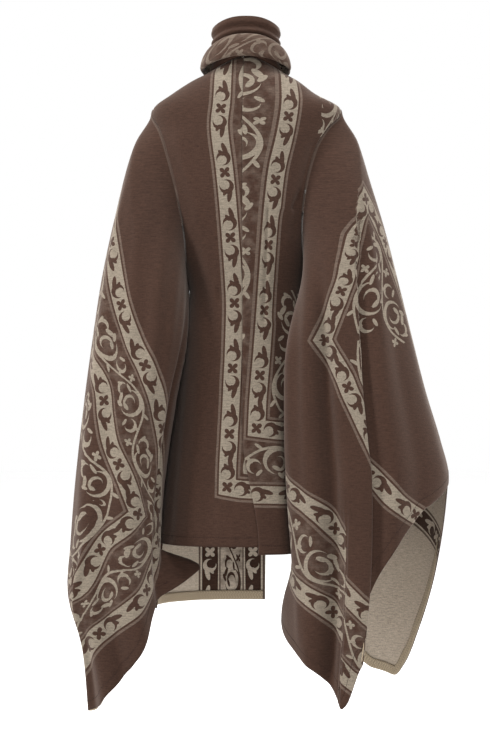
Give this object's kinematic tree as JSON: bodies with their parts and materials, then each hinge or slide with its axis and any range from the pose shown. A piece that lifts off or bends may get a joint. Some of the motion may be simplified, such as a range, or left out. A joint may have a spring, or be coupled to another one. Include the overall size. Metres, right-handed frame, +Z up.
{
  "type": "wool coat with cape sleeves",
  "caption": "Long worn wool coat with very wide cape sleeves, a fold-over collar and a centre back vent, open at the neck, sleeves and hem.",
  "frame": {"origin": "middle of the neck opening, level with the tops of the shoulders, where the wearer holds the coat up", "axes": "+Z up, +Y towards the coat's back, +X towards the wearer's left side"},
  "size_m": [0.8347, 0.4246, 1.5103],
  "materials": {
    "wool": "felted jacquard wool, matt with a soft nap",
    "tape": "matt woven binding tape"
  },
  "bodies": {
    "root": {"back_left": "wool", "back_right": "wool", "front_left": "wool", "front_right": "wool", "wing_left": "wool", "wing_right": "wool", "collar_stand": "wool", "collar_fall": "wool", "tape_wing_left_back": "tape", "tape_wing_left_front": "tape", "tape_wing_right_back": "tape", "tape_wing_right_front": "tape", "tape_front_left": "tape"}
  },
  "joints": []
}
